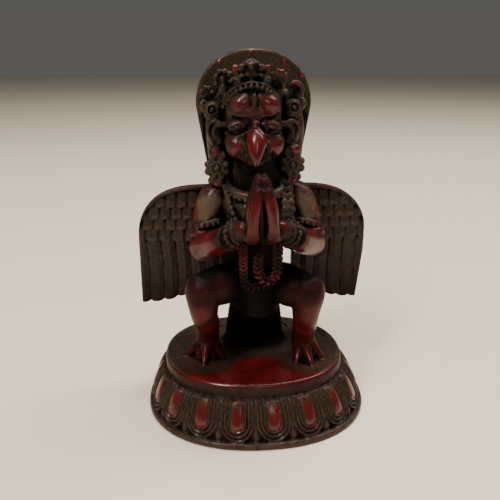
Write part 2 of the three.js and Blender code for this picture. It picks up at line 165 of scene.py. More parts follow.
def lotus_place(co):
    """Where a vertex of the plain drum goes on the carved lotus."""
    share = min(max(co.z, 0), 1)
    angle = math.atan2(co.y, co.x)
    turn = angle / (2 * math.pi) * PETALS + PETAL_PHASE
    u = 2 * (turn - math.floor(turn)) - 1
    foot = PLINTH_DEPTH / 2 - RIM_LEDGE - PETAL_RELIEF
    neck = SLAB_DEPTH / 2 - NECK_INSET
    radius = neck + (foot - neck) * (1 - share ** LOTUS_FULLNESS) ** (1 / LOTUS_FULLNESS)
    up = PETAL_FACE * (0.62 * share + 0.38 * share ** 3)
    radius += petal_height(u, up)
    return oval(radius, angle, RIM_HEIGHT - 0.4 + (LOTUS_HEIGHT + 0.8) * share)


drum = bmesh.ops.create_cone(
    casting, cap_ends=True, segments=PETALS * PETAL_COLUMNS, radius1=1, radius2=1, depth=1)["verts"]
bmesh.ops.translate(casting, verts=drum, vec=(0, 0, 0.5))
upright = {edge for vert in drum for edge in vert.link_edges
           if abs(edge.verts[0].co.z - edge.verts[1].co.z) > 0.5}
bmesh.ops.subdivide_edges(casting, edges=list(upright), cuts=PETAL_ROWS)
move(casting.verts, lotus_place)
casting = poured(casting)

# Legs and feet
# Each leg folds deeply, thigh out to the knee and shin back down to a bird's foot whose toes are
# cast flat on the slab, with low webs between the front ones. Heights of the figure start at the slab.
X, Y, Z = Vector((1, 0, 0)), Vector((0, 1, 0)), Vector((0, 0, 1))


def curve(points, share):
    """The row of values at a share of a smooth curve through the rows of points."""
    last = len(points) - 1
    i = min(int(share * last), last - 1)
    t = share * last - i
    a, b = points[max(i - 1, 0)], points[i]
    c, d = points[i + 1], points[min(i + 2, last)]
    return 0.5 * (2 * b + (c - a) * t + (2 * a - 5 * b + 4 * c - d) * t ** 2
                  + (3 * b - a - 3 * c + d) * t ** 3)


def bar(stations, hint=X, around=14, rings=6, flute=0, pleats=0):
    """A round-ended bar through stations (x, y, z, half width, half depth); width lies along hint.
    A flute draws the surface in between its pleats."""
    points = np.array(stations, float)
    count = rings * (len(points) - 1) + 1
    verts = bmesh.ops.create_uvsphere(
        casting, u_segments=around, v_segments=count + 1, radius=1)["verts"]
    frames = []
    for k in range(count):
        share = k / (count - 1)
        here = curve(points, share)
        ahead, back = curve(points, min(1, share + 0.01)), curve(points, max(0, share - 0.01))
        along = Vector(ahead[:3] - back[:3]).normalized()
        wide = (hint - along * hint.dot(along)).normalized()
        frames.append((Vector(here[:3]), wide, wide.cross(along), along, here[3], here[4]))
    first, last = frames[0], frames[-1]
    caps = [first[0] - first[3] * min(first[4:]) * 0.6, last[0] + last[3] * min(last[4:]) * 0.6]
    for vert in verts:
        ring = round(math.acos(max(-1, min(1, -vert.co.z))) * (count + 1) / math.pi)
        if ring in (0, count + 1):
            spot = caps[ring > 0]
        else:
            centre, wide, deep, along, half_width, half_depth = frames[ring - 1]
            angle = math.atan2(vert.co.y, vert.co.x)
            size = 1 - flute * (0.5 - 0.5 * math.cos(angle * pleats))
            spot = centre + (wide * half_width * math.cos(angle) + deep * half_depth * math.sin(angle)) * size
        vert.co = spot + Z * SLAB_TOP


def ball(centre, radii, turn=0, lean=0, fine=3):
    """An ellipsoid, leant sideways about Y, then turned about Z."""
    shape = (Matrix.Translation(Vector(centre) + Z * SLAB_TOP) @ Matrix.Rotation(turn, 4, "Z")
             @ Matrix.Rotation(lean, 4, "Y") @ Matrix.Diagonal((*radii, 1)))
    bmesh.ops.create_icosphere(casting, subdivisions=fine, radius=1, matrix=shape)


def leg(knee, ankle, toes):
    """One leg from the hip to the foot, bent at the given knee, with its toe tips on the slab."""
    kx, ky, kz = knee
    ax, ay = ankle
    side = math.copysign(1, kx)
    bar([(side * 2, 1, 25.6, 5, 6), (side * 8, -4, 27.2, 6.4, 7), (kx * 0.68, ky * 0.66, kz - 1.6, 6.8, 7),
         (kx * 0.92, ky * 0.92, kz - 1.2, 6, 6), (kx * 1.04, ky * 1.04, kz - 1.8, 3.6, 4)], Z, 24)
    bar([(kx * 0.96, ky * 0.96, kz + 2.7, 3.2, 3.2), (kx * 0.99, ky * 0.98, kz + 1.4, 5, 5),
         (kx, ky, kz - 2, 5.8, 6), (kx * 0.98, ky * 0.95, kz * 0.66, 4.5, 5.1),
         (ax, ay - 3.6, kz * 0.45, 4.1, 4.6), (ax, ay - 1, 8, 4, 4.3), (ax, ay - 0.4, 2.4, 4.1, 4.4)], X, 24)
    ball((kx * 0.96, ky * 1.12, kz + 0.4), (3.8, 3.4, 3.4))
    ball((kx * 0.78, ky * 0.8, kz - 0.4), (5.6, 5.4, 5.6))
    front = len(toes) // 2
    for number, (tx, ty) in enumerate(toes):
        dx, dy = tx - ax, ty - ay
        across = Z.cross(Vector((dx, dy, 0)))
        size = 1.25 if number == front else 1
        bar([(ax + dx * 0.05, ay + dy * 0.05, 8, 2.6, 2.4), (ax + dx * 0.3, ay + dy * 0.3, 5 * size, 2.2, 2),
             (ax + dx * 0.56, ay + dy * 0.56, 2.6 * size, 1.5, 1.6),
             (ax + dx * 0.82, ay + dy * 0.82, 1.1, 0.95, 1.1), (tx, ty, 0.1, 0.35, 0.4)], across, 14)
    for (tx, ty), (ux, uy) in zip(toes[:2], toes[1:3]):
        middle_x, middle_y = (tx + ux) / 2 - ax, (ty + uy) / 2 - ay
        ball((ax + middle_x * 0.34, ay + middle_y * 0.34, 0.8), (3, 3, 4))


leg((-18.8, -15, 30), (-17.4, -3.6), ((-25.6, -5.8), (-19.1, -13.6), (-12, -8.4), (-16.6, 3)))
leg((15.9, -15, 28.6), (16, -7), ((12.7, -14.2), (18.1, -16.4), (23, -11.6), (15.2, -0.4)))
casting = poured(casting)

# Trunk and loincloth
# Round belly, narrow waist and broad chest, a loincloth wrapped in six folds between the thighs,
# and a pleated tail of feathers behind that spreads down on to the slab.
bar([(0, -1, 20, 6, 5), (-1, -2, 26, 10, 9.6), (-1.6, -2.6, 32, 10, 10.2), (-1.8, -2, 37, 9.6, 9.8),
     (-0.8, 0.4, 45, 11, 12), (0, 1.4, 53, 13, 12.4), (0, 1.4, 58.5, 12.4, 10.4), (-0.5, 0, 63, 8.4, 7.6),
     (-1, -1.5, 70, 6.6, 6.6)], X, 28)
bar([(-0.6, -3, 30.6, 9.4, 9.6), (-0.6, -3, 29.4, 10.8, 10.8), (-0.6, -3, 27.6, 10.6, 10.6),
     (-0.6, -3, 26, 9, 9), (-0.4, -3, 22, 7.6, 8), (0, -0.6, 16.4, 6, 4.6)], X, 24)
for drop, reach in ((26, 11.5), (24.2, 11.2), (22.4, 10.6), (20.6, 10), (18.8, 9), (17, 8)):
    bar([(-reach, -4.6, drop + 2.6, 0.7, 0.8), (-reach * 0.5, -9.2, drop + 0.6, 0.9, 1),
         (0, -10.4, drop, 1, 1.1), (reach * 0.5, -9.2, drop + 0.6, 0.9, 1),
         (reach, -4.6, drop + 2.6, 0.7, 0.8)], Z, 10)
bar([(0, 3.4, 29, 8, 4), (0, 5.4, 16, 9.4, 4.4), (0, 7.4, 5, 10.8, 4.8), (0, 7.8, 0.6, 11.4, 5)],
    X, 96, 8, 0.16, 24)
casting = poured(casting)

# Arms and hands
# Upper arms hang from round shoulders, the elbows stand out and the forearms come forward to the
# breast, where the hands press together with thumbs to the front. Beaded bands ring arm and wrist.


def ring(centre, radii, thickness, facing, columns=28):
    """A closed ring round a bar: radii across and deep, half its own thickness, facing a direction."""
    upright = Matrix.Rotation(math.pi / 2, 4, "X")
    circle = bmesh.ops.create_circle(casting, segments=10, radius=thickness, matrix=upright)
    bmesh.ops.translate(casting, verts=circle["verts"], vec=(radii[0], 0, 0))
    edges = list({edge for vert in circle["verts"] for edge in vert.link_edges})
    bmesh.ops.spin(casting, geom=circle["verts"] + edges, cent=(0, 0, 0), axis=(0, 0, 1),
                   angle=2 * math.pi, steps=columns, use_merge=True)
    verts = list({vert for edge in edges for vert in island(edge.verts[0])})
    shape = (Matrix.Translation(Vector(centre) + Z * SLAB_TOP)
             @ Vector(facing).to_track_quat("Z", "Y").to_matrix().to_4x4()
             @ Matrix.Diagonal((1, radii[1] / radii[0], 1, 1)))
    bmesh.ops.transform(casting, matrix=shape, verts=verts)


def island(start):
    """Every vertex joined to the given one."""
    found, front = {start}, [start]
    while front:
        vert = front.pop()
        for edge in vert.link_edges:
            other = edge.other_vert(vert)
            if other not in found:
                found.add(other)
                front.append(other)
    return found


def spaced(points, count):
    """Places evenly spaced along a smooth curve through the points, each with its direction."""
    rows = np.array(points, float)
    fine = [Vector(curve(rows, k / 200)) for k in range(201)]
    lengths = np.cumsum([0] + [(b - a).length for a, b in zip(fine, fine[1:])])
    places = []
    for k in range(count):
        i = min(int(np.searchsorted(lengths, lengths[-1] * k / (count - 1))), 199)
        places.append((fine[i], (fine[i + 1] - fine[max(i - 1, 0)]).normalized()))
    return places


def beads(points, count, radius, fine=2):
    """A string of round beads along a curve."""
    for place, along in spaced(points, count):
        ball(place, (radius, radius, radius), fine=fine)


def band(centre, radii, facing, count, radius):
    """Beads round a limb, in a ring that faces a direction."""
    turn = Vector(facing).to_track_quat("Z", "Y")
    for k in range(count):
        angle = 2 * math.pi * k / count
        offset = turn @ Vector((radii[0] * math.cos(angle), radii[1] * math.sin(angle), 0))
        ball(Vector(centre) + offset, (radius, radius, radius), fine=2)


def paired_bar(side, points, hint=X, around=14, middle=0):
    """A bar whose places are counted outward from the figure's middle, on one side of it."""
    bar([(middle + side * x, *rest) for x, *rest in points], hint, around)


def arm(side, elbow):
    """One arm with its armband, elbow and cuff."""
    paired_bar(side, [(10, 1, 59, 3, 3.6), (13.8, 0.4, 56.4, 5, 5.2), (16.2, -0.8, 51.5, 5, 5.2),
                      (17, -2.1, 47, 4.8, 4.8), (17.8, -3.6, 44, 4.4, 4.3), (18.8, -6, elbow, 3.6, 3.8)],
               X, 24)
    paired_bar(side, [(21.8, -3.6, elbow - 0.6, 2, 2), (20.6, -4.6, elbow - 0.5, 3.6, 3.4),
                      (18.6, -6.6, elbow, 4.5, 4.3), (14, -13.2, 44.2, 4.3, 4.2),
                      (10.6, -18.2, 47.4, 3.8, 3.6), (8.3, -21, 49.4, 3.5, 3.3), (5, -24, 51.6, 2.8, 3)],
               Z, 24)
    slope = (side * 0.24, 0.35, 1)
    ring((side * 16.7, -2.2, 47.7), (5.2, 5.2), 0.5, slope)
    band((side * 16.8, -2.3, 46.5), (5.4, 5.4), slope, 18, 0.85)
    paired_bar(side, [(22.6, -4, 43.6, 0.6, 0.6), (21.4, -7.2, 45.6, 1, 0.7), (17.6, -8.6, 46, 1, 0.7),
                      (13, -8.8, 45, 0.7, 0.6), (10.8, -8.4, 44, 0.5, 0.5)], Z, 12)
    wrist = (side * 0.62, 0.62, -0.46)
    ring((side * 10.4, -18.4, 47.4), (4.2, 4), 0.45, wrist)
    band((side * 8.3, -20.6, 49.1), (4.3, 4.1), wrist, 15, 0.8)
    ring((side * 7.2, -21.8, 49.9), (3.8, 3.7), 0.4, wrist)
    paired_bar(side, [(9.2, -22.6, 49.4, 2, 0.6), (9.4, -22.2, 52, 1.4, 0.6), (9.4, -21.4, 54.6, 0.4, 0.4)],
               X, 12)


HANDS = -0.45


def hand(side):
    """One hand held upright against the other, thumb edge to the front."""
    for step in range(4):
        back = 1.9 * step
        paired_bar(side, [(3.3, -26.4 + back, 48.8, 1.7, 1.2), (3.3, -27 + back, 52, 1.75, 1.25),
                          (3, -27.4 + back, 58, 1.65, 1.2), (2, -27.2 + back, 63, 1.5, 1.05),
                          (1.2, -26.6 + back * 0.9, 66.4, 1.2, 0.95),
                          (0.9, -26.2 + back * 0.8, 68, 0.8, 0.6)], X, 14, HANDS)
    paired_bar(side, [(2.4, -24.4, 49, 1.8, 3.4), (2.1, -24.6, 56, 1.7, 4), (1.5, -24.6, 63, 1.2, 3),
                      (1.1, -24.6, 66, 0.8, 1.6)], X, 16, HANDS)
    ball((HANDS + side * 3.7, -26.2, 50.2), (2.4, 3, 2.4))
    ball((HANDS + side * 5.6, -24.4, 51.2), (2.4, 2.6, 3.2), 0, side * 0.3)
    paired_bar(side, [(3.1, -27, 49, 1.9, 1.7), (3, -28.8, 51, 2, 1.7), (2.9, -29.5, 54, 1.75, 1.5),
                      (2.3, -29.5, 58.5, 1.6, 1.35), (1.6, -29, 62.4, 1.5, 1.2),
                      (1.3, -28.5, 64.8, 1.2, 0.9)], X, 18, HANDS)


arm(-1, 40.6)
arm(1, 41.4)
hand(-1)
hand(1)
ball((HANDS, -24.6, 66), (1.7, 3, 1.9))
ball((HANDS, -26.6, 64.6), (1.2, 1.6, 1.2))
casting = poured(casting)

# Jewellery
# A beaded torque, a strand of beads down one side of the chest and a double one down the other, and
# a plaited garland that hangs from the wrists in one long loop and one short one.


def plait(points, count, radius):
    """A plaited cord: leaf-shaped strands laid in pairs, slanting to either side of its line."""
    bar([(*point, radius * 0.55, radius * 0.5) for point in points], Y, 14)
    for place, along in spaced(points, count):
        across = along.cross(Y).normalized()
        for side in (-1, 1):
            slant = (along + across * side).normalized()
            shape = (Matrix.Translation(place + across * side * radius * 0.45 + Z * SLAB_TOP)
                     @ slant.to_track_quat("Z", "Y").to_matrix().to_4x4()
                     @ Matrix.Diagonal((radius * 0.34, radius * 0.85, radius * 0.95, 1)))
            bmesh.ops.create_icosphere(casting, subdivisions=2, radius=1, matrix=shape)


torque = (-0.6, -2.2, 61.4)
ring(torque, (9.4, 9), 1.2, (0, -0.35, 1))
band((-0.6, -2.6, 60.3), (10, 9.6), (0, -0.35, 1), 32, 0.8)
band((-0.6, -1.9, 62.4), (9.2, 8.8), (0, -0.35, 1), 36, 0.6)


def ringed(points, count, radius):
    """A strand of ringed beads lying on the breast."""
    for place, along in spaced(points, count):
        ring(place, (radius, radius), radius * 0.34, (0, -1, 0.2), 14)
        ball(place, (radius * 0.5, radius * 0.7, radius * 0.5), fine=2)
        ball(place + Y * 0.6, (radius, radius * 0.7, radius), fine=2)


beads([(-10.8, -6, 61), (-9.6, -9.4, 56.8), (-8.4, -11.2, 53), (-6.8, -11.8, 49.6)], 8, 0.85)
bar([(-10.8, -4.8, 61, 1, 1), (-9.6, -8.2, 56.8, 1, 1), (-8.4, -10, 53, 1, 1),
     (-6.8, -10.6, 49.6, 1, 1)], X, 12)
for lie in (-1.05, 1.05):
    ringed([(9.3 + lie, -5.4, 61.6), (9.5 + lie, -8.8, 57), (9.7 + lie, -10.4, 53),
            (9 + lie, -11, 49.6)], 7, 1.0)
GARLAND = (
    ([(-6, -21.6, 46.6), (-5.7, -18.6, 41), (-5.5, -16.6, 35.6), (-5.2, -15.4, 31.2), (-3.8, -15, 29),
      (-1, -14.8, 29), (2, -14.6, 30.2), (5, -14.6, 31.2)], 19, 1.3),
    ([(-0.9, -19, 41.1), (-1, -17.6, 37), (0, -17, 33.2), (2.4, -16.8, 31.5), (4.6, -17.2, 33.4),
      (5.2, -18.4, 37.6), (4.9, -21, 45.4)], 16, 1.45))
for points, count, radius in GARLAND:
    plait(points, count, radius)
casting = poured(casting)

# Head
# A bird's face: strong beak with a hooked tip, round cheeks, ringed almond eyes under frowning
# brows, two lobes on the forehead, and long curled ears that carry a bud, a flower and a leaf.
FACE = -1.2
ball((FACE, -1.2, 80), (9.5, 9.4, 12.2))
ball((FACE, -3.6, 85), (8.9, 7.4, 7.4))
ball((FACE, -5, 75.8), (8.8, 7, 7))
ball((FACE, -4.8, 88.2), (8.2, 5.9, 4.4))
paired_bar(1, [(-0.3, -10.4, 81.4, 0.6, 1), (-0.2, -11.8, 79.9, 1.5, 2), (-0.1, -13, 78, 2.8, 2.8),
               (0, -14, 76, 3.4, 3.3), (-0.2, -15.2, 74, 2.7, 3), (-0.3, -16.4, 72, 2, 2.4),
               (-0.3, -17.2, 70.4, 1.1, 1.5), (-0.3, -17.2, 69.2, 0.4, 0.5)], X, 28, FACE)
ball((FACE - 0.1, -10.6, 71.6), (5.6, 5.2, 2.2))
ball((FACE, -8.6, 73.8), (6.6, 6.4, 4.6))
ball((FACE - 0.2, -12.6, 70.6), (2.8, 4, 1.6))
for side in (-1, 1):
    ball((FACE + side * 5.3, -7.2, 74.4), (4.1, 5, 4.2), 0, side * 0.3)
    ball((FACE + side * 6.6, -6.8, 75.6), (3, 4.6, 2.6))
    ball((FACE + side * 4, -7.6, 87), (3.9, 3.1, 3.3), 0, side * 0.35)
    ball((FACE + side * 5.4, -8.4, 80.3), (3, 2.9, 2.1), 0, side * 0.14)
    paired_bar(side, [(8.8, -3, 80.6, 1, 1), (11.8, -2.2, 79.6, 2.2, 1), (12.8, -2.2, 77, 2.3, 1.1),
                      (11.6, -2.6, 74, 1.7, 1)], X, 16, FACE)
    paired_bar(side, [(10.2, -3.2, 80.8, 0.45, 0.5), (12.2, -3.2, 81.7, 0.5, 0.6),
                      (14.2, -3.2, 80.4, 0.5, 0.6), (14.6, -3.2, 78, 0.5, 0.6),
                      (13.6, -3.4, 75.6, 0.5, 0.6), (12.8, -3.6, 73.6, 0.5, 0.6),
                      (11, -3.8, 73.2, 0.4, 0.5)], Y, 12, FACE)
    paired_bar(side, [(12.2, -3, 79.9, 0.4, 0.5), (12.9, -3.2, 78, 0.45, 0.5),
                      (12.2, -3.2, 75.9, 0.4, 0.5)], Y, 10, FACE)
ball((FACE, -11.4, 81.8), (1.5, 1.1, 0.9))
ball((FACE - 0.4, -10.8, 88.8), (0.8, 0.9, 2))


def flower(centre, radius, petals, boss=0.28):
    """A flower that faces the front: a round boss in a raised ring, with rounded petals behind."""
    x, y, z = centre
    for k in range(petals):
        angle = 2 * math.pi * (k + 0.5) / petals
        ball((x + math.cos(angle) * radius * 0.78, y + 0.3, z + math.sin(angle) * radius * 0.78),
             (radius * 0.34, radius * 0.34, radius * 0.34), 0, 0, 2)
    ball((x, y + 0.5, z), (radius * 0.75, radius * 0.3, radius * 0.75))
    ring((x, y - radius * 0.2, z), (radius * 0.48, radius * 0.48), radius * 0.1, (0, -1, 0), 20)
    ball((x, y - radius * 0.1, z), (radius * boss, radius * 0.32, radius * boss), fine=2)


for x, z, side in ((-13.2, 66.7, -1), (11.6, 67.5, 1)):
    ball((x + side * 0.6, -3.6, z + 4.9), (2.1, 1.6, 1.8))
    ball((x - side * 2, -3.6, z + 4.2), (1.3, 1.2, 1.3), fine=2)
    flower((x, -4, z), 3.9, 8)
    ball((x - side * 0.3, -4, z - 4.8), (1.7, 1.2, 1.5))
    ball((x + side * 1.8, -3.4, z - 4.2), (1.3, 1.1, 1.3), fine=2)
casting = poured(casting)

# Crown and halo
# A beaded band over the brow carries five jewelled leaves, two curled prongs and a ringed flower
# at each ear, from which ribbons fall. An arch-topped panel stands behind the whole head.
CROWN = -1.6
HALO_HALF = 19.6
HALO_RISE = 18.4
HALO_TOP = 103.6
HALO_FRONT = 10.0
HALO_THICKNESS = 2.8


def blossom(centre, spots, radius=0.9, core=1.8):
    """A crown ornament: a dark core with balls standing round it, each (across, up, size)."""
    x, y, z = centre
    ball((x, y + 0.6, z), (core, 1.6, core))
    for across, up, size in spots:
        ball((x + across, y - 0.3, z + up), (radius * size, radius * size * 1.1, radius * size), fine=2)


brow = [(CROWN - 9.2, -2.4, 86), (CROWN - 7.8, -5.4, 88.8), (CROWN - 5.4, -8, 91), (CROWN - 2.6, -9.6, 92.2),
        (CROWN, -10, 92.5), (CROWN + 2.6, -9.6, 92), (CROWN + 5.2, -8, 90.6), (CROWN + 7.6, -5.4, 88.4),
        (CROWN + 9, -2.4, 85.6)]
beads(brow, 18, 0.74)
bar([(x * 1.02, y + 0.7, z + 1.2, 0.5, 0.6) for x, y, z in brow], Z, 10, 4)
ball((-1.4, 1.6, 89.8), (10.2, 9.2, 6.4))
bar([(-2.3, -6.4, 92.8, 3.4, 1), (-2.3, -7, 96, 3.6, 1.2), (-2.3, -6.8, 98.6, 2.8, 1),
     (-2.3, -6.4, 100, 1.2, 0.8)], X, 20)
bar([(-5.8, -7.4, 98.2, 0.4, 0.4), (-4.3, -7.5, 99.6, 0.45, 0.45), (-2.2, -7.6, 100.2, 0.45, 0.45),
     (-0.4, -7.5, 99.6, 0.45, 0.45), (1, -7.4, 98.2, 0.4, 0.4)], Z, 10)
blossom((-2.3, -8, 96.8), ((-3.2, 1.2, 1.1), (0, 1.8, 1.15), (3.1, 1.2, 1.1), (-1.3, -0.8, 0.75),
                           (1.3, -0.8, 0.75), (0, -2.2, 0.7), (-2.9, -1, 0.7), (2.9, -1, 0.7),
                           (-1.6, 2.4, 0.7), (1.6, 2.4, 0.7)), 1.1, 2.8)
for side in (-1, 1):
    bar([(-2.3 + side * 3, -7, 93.8, 0.7, 0.8), (-2.3 + side * 4.2, -7.4, 96, 0.8, 0.9),
         (-2.3 + side * 5.1, -7.7, 97.6, 1, 1), (-2.3 + side * 4.9, -7.8, 98.6, 0.9, 0.8)], X, 12)
blossom((-10.8, -3.6, 94.2),
        ((-2.2, 1, 0.9), (-1.2, 2.5, 0.8), (0.5, 2.6, 0.9), (2.1, 1.7, 1), (2.3, -0.5, 0.8),
         (-2.3, -1.1, 0.8), (0, 0.2, 0.9), (0, -2.2, 1.2)), 1.05, 2.1)
ball((-10.5, -3, 91.2), (1.9, 1.7, 1.7))
for across, up, size in ((-2, 0.5, 0.75), (-0.4, 1.4, 0.8), (1.1, 1.1, 0.8), (2.3, 0.2, 0.7)):
    bar([(6.6 + across * 0.5, -3.6, 92 + up, 0.5, 0.6), (6.6 + across * 0.9, -4.2, 94.6 + up, size, size),
         (6.6 + across, -4.2, 96 + up, size * 0.9, size)], X, 10)
blossom((6.6, -2.8, 93), ((-1.6, -1, 0.8), (1.6, -1, 0.8), (0, -1.6, 1)))
blossom((-16, 4.6, 89.4),
        ((-1.7, 0.8, 0.75), (-0.5, 2.1, 0.75), (1, 2, 0.75), (1.8, 0.5, 0.75), (0.2, 0.4, 0.7),
         (-0.8, -0.8, 0.75), (1, -1, 0.75), (-2, -1, 0.7), (0, -2.3, 0.8)), 1.05, 2.2)
ring((13.2, 3.6, 90), (1.5, 1.7), 0.5, (0, -1, 0), 18)
bar([(11.2, 3.6, 92, 0.5, 0.7), (12.4, 3.4, 93, 0.8, 0.9), (13.8, 3.4, 92.7, 0.9, 0.9),
     (15.2, 3.6, 91.4, 0.8, 0.9), (15.4, 4, 89.4, 0.5, 0.6)], Z, 12)
blossom((13.2, 4.6, 90), ((2, -1, 0.9), (0.8, -2.1, 0.8), (-1.4, -1.6, 0.8)), 0.9, 2.4)
for x, z, side in ((-14.3, 84.9, -1), (12.2, 85.5, 1)):
    ball((x, 1.2, z), (3, 1.8, 2.6))
    ring((x, -0.6, z), (1.7, 1.7), 0.5, (0, -1, 0), 20)
    ball((x, -0.4, z), (0.8, 1, 0.8), fine=2)
    bar([(x - side * 2.4, 0, z - 1.4, 0.4, 0.5), (x - side * 1.2, -0.4, z - 2.7, 0.6, 0.6),
         (x + side * 0.8, -0.4, z - 2.8, 0.6, 0.6), (x + side * 2.6, 0.2, z - 1.6, 0.5, 0.5)], Z, 10)
    bar([(x + side * 2.6, 1, z - 0.6, 0.7, 0.8), (x + side * 3.4, 1, z + 1.2, 0.9, 0.9),
         (x + side * 2.6, 1.4, z + 2.8, 0.6, 0.7)], X, 10)
    paired_bar(side, [(10, 6, 90, 2, 2), (12.6, 5.4, 82, 3.4, 5.2), (13.2, 5, 74, 3, 5.4),
                      (12.4, 5.4, 64, 2.6, 4.6), (11, 5.4, 56, 2, 3)], X, 22)


def halo_edge():
    """The panel's outline from its foot round the arch, as (across, height)."""
    centre = HALO_TOP - HALO_RISE
    points = [(HALO_HALF * 0.7, 54), (HALO_HALF * 0.84, centre - 18)]
    for step in range(41):
        angle = math.pi * step / 40
        across, up = math.cos(angle), math.sin(angle)
        wide = math.copysign(HALO_HALF * abs(across) ** 0.9, across)
        points.append((wide, centre + HALO_RISE * up ** 0.92))
    points += [(-HALO_HALF * 0.84, centre - 18), (-HALO_HALF * 0.7, 54)]
    return points


outline = halo_edge()
panel = bmesh.ops.create_circle(casting, cap_ends=True, segments=len(outline), radius=1)["verts"]
front = panel[0].link_faces[0]
for vert, (across, up) in zip(list(front.verts), outline):
    vert.co = (across, HALO_FRONT, up + SLAB_TOP)
behind = bmesh.ops.extrude_face_region(casting, geom=[front], use_keep_orig=True)["geom"]
bmesh.ops.translate(casting, verts=[part for part in behind if isinstance(part, bmesh.types.BMVert)],
                    vec=(0, HALO_THICKNESS, 0))
bmesh.ops.bevel(casting, geom=list(front.edges), offset=0.7, segments=3, profile=0.5, affect="EDGES",
                material=-1)
for across, up in ((-0.9, 102.3), (-11.3, 99.2), (10, 99.2), (16, 95.2)):
    ball((across, HALO_FRONT + 0.8, up), (1.2, 1.3, 1.1))
casting = poured(casting)

# Wings
# Two carved panels spread behind the arms: four rows of round-ended feathers over long primaries
# with raised shafts, under a plain top edge. Their backs are flat with plain grooves.
WING_BACK = 15.0
WING_SWEEP = 1.6
WING_REACH = (high.x - low.x) / 2 - 0.2
WING_THICKNESS = 3.0
FIRST = 15.0
ROW_TIPS = (49.6, 45.2, 41.1, 36.7)
ROW_FIRST = (33.2, 35.5, 37.8, 36.5)
ROW_PITCH = (3.95, 4.05, 4.05, 4.7)
ROW_LIFT = (1.55, 1.4, 1.25, 1.15)
PRIMARY_PITCH = 5.1
PRIMARY_FIRST = 38.4
ROOT_SHARE = 0.138
TOP_EDGE = 1.4


def wing_top(reach):
    """Height of the wing's rounded top at a share of its reach."""
    return 38 + 19.6 * (1 - reach ** 3) ** (1 / 2.2)


def wing_bottom(reach):
    """Height of the tips of the primaries at a share of the wing's reach."""
    return 13 + 9 * (1 - reach) ** 2.4


def feather_height(x, z, top):
    """Height of the carved feathers over the wing's face at x outward and z over the slab."""
    if z > top - TOP_EDGE:
        return 1.7
    for tips, first, pitch, lift in zip(ROW_TIPS, ROW_FIRST, ROW_PITCH, ROW_LIFT):
        turn = (x - first) / pitch + 0.5
        u = 2 * (turn - math.floor(turn)) - 1
        tip = tips + 1.7 * (1 - math.sqrt(max(0, 1 - u * u)))
        if z > tip:
            above = z - tip
            round_edge = 0.35 * (1 - min(1, above / 0.5)) ** 2
            groove = 0.55 * max(0, abs(u) - 0.72) / 0.28
            return lift - 0.09 * above - round_edge - groove - 0.12 * u * u
    turn = (x - PRIMARY_FIRST + 0.5 * math.sin((z - 14) * 0.16)) / PRIMARY_PITCH
    u = 2 * (turn - math.floor(turn)) - 1
    groove = 0.7 * (max(0, abs(u) - 0.8) / 0.2) ** 1.5
    shaft = 0.34 * max(0, 1 - abs(abs(u + 0.12) - 0.11) / 0.07)
    return 0.8 - groove + shaft - 0.15 * u * u + 0.12 * u


def wing(side, inner, lean):
    """One wing, from a grid laid on its outline, carved and given a flat back."""
    grid = bmesh.ops.create_grid(casting, x_segments=130, y_segments=170, size=0.5)["verts"]
    faces = list({face for vert in grid for face in vert.link_faces})

    def place(co):
        share, level = co.x + 0.5, co.y + 0.5
        reach = max(0, share * 1.16 - 0.16)
        top, bottom = wing_top(reach), wing_bottom(reach)
        turn = (FIRST + (WING_REACH - FIRST) * reach - PRIMARY_FIRST) / PRIMARY_PITCH
        u = 2 * (turn - math.floor(turn)) - 1
        bottom += 1.1 * (1 - math.sqrt(max(0, 1 - u * u)))
        z = bottom + (top - bottom) * level
        root = inner + (-0.4 - inner) * min(1, max(0, (z - 38) / 8))
        spread = WING_REACH - lean * max(0, (32 - z) / 18)
        x = FIRST + (spread - FIRST) * reach
        if share <= ROOT_SHARE:
            x = root + (FIRST - root) * share / ROOT_SHARE
        edge = min(1, (1 - reach) * 40, level * 60)
        face = WING_BACK - WING_THICKNESS + WING_SWEEP * x / WING_REACH
        return Vector((side * x, face - feather_height(x, z, top) * (0.4 + 0.6 * edge), z + SLAB_TOP))

    move(grid, place)
    back = bmesh.ops.extrude_face_region(casting, geom=faces, use_keep_orig=True)["geom"]
    for part in back:
        if isinstance(part, bmesh.types.BMVert):
            part.co.y = WING_BACK


wing(-1, 10.4, 0)
casting = poured(casting)
wing(1, 14.2, 2)
casting = poured(casting)

# Casting
# The mould turns all of this into one skin: the forms run together with small fillets, and the fine
# lines of face, garland, halo, slab and wing backs are cut or raised on it afterwards.
VOXEL = 0.26
TRIANGLES = 170000


def carve(skin, normals, line, width, height, reachable, plane=(0, 2)):
    """Raise a smooth line on the reachable skin, or cut it where height < 0. Its places are (x, z) over
    the slab, or (x, y) on the other plane."""
    rows = np.array(line, float)
    steps = 6 * (len(rows) - 1)
    path = np.array([curve(rows, k / steps) for k in range(steps + 1)]) + (0, SLAB_TOP * (plane == (0, 2)))
    low_corner, high_corner = path.min(0) - 3 * width, path.max(0) + 3 * width
    flat = skin[:, plane]
    chosen = np.nonzero(reachable & (flat > low_corner).all(axis=1) & (flat < high_corner).all(axis=1))[0]
    spots = flat[chosen]
    nearest = np.full(len(chosen), 1e9)
    for a, b in zip(path, path[1:]):
        span = b - a
        share = np.clip(((spots - a) @ span) / max(span @ span, 1e-9), 0, 1)
        nearest = np.minimum(nearest, np.linalg.norm(spots - a - share[:, None] * span, axis=1))
    skin[chosen] += normals[chosen] * (height * np.exp(-(nearest / width) ** 2))[:, None]


def laid_open(mesh):
    """The mesh's points, edges and vertex normals as arrays."""
    points = np.empty(len(mesh.vertices) * 3)
    mesh.vertices.foreach_get("co", points)
    edges = np.empty(len(mesh.edges) * 2, int)
    mesh.edges.foreach_get("vertices", edges)
    normals = np.empty(len(mesh.vertices) * 3)
    mesh.vertices.foreach_get("normal", normals)
    return points.reshape(-1, 3), edges.reshape(-1, 2), normals.reshape(-1, 3)


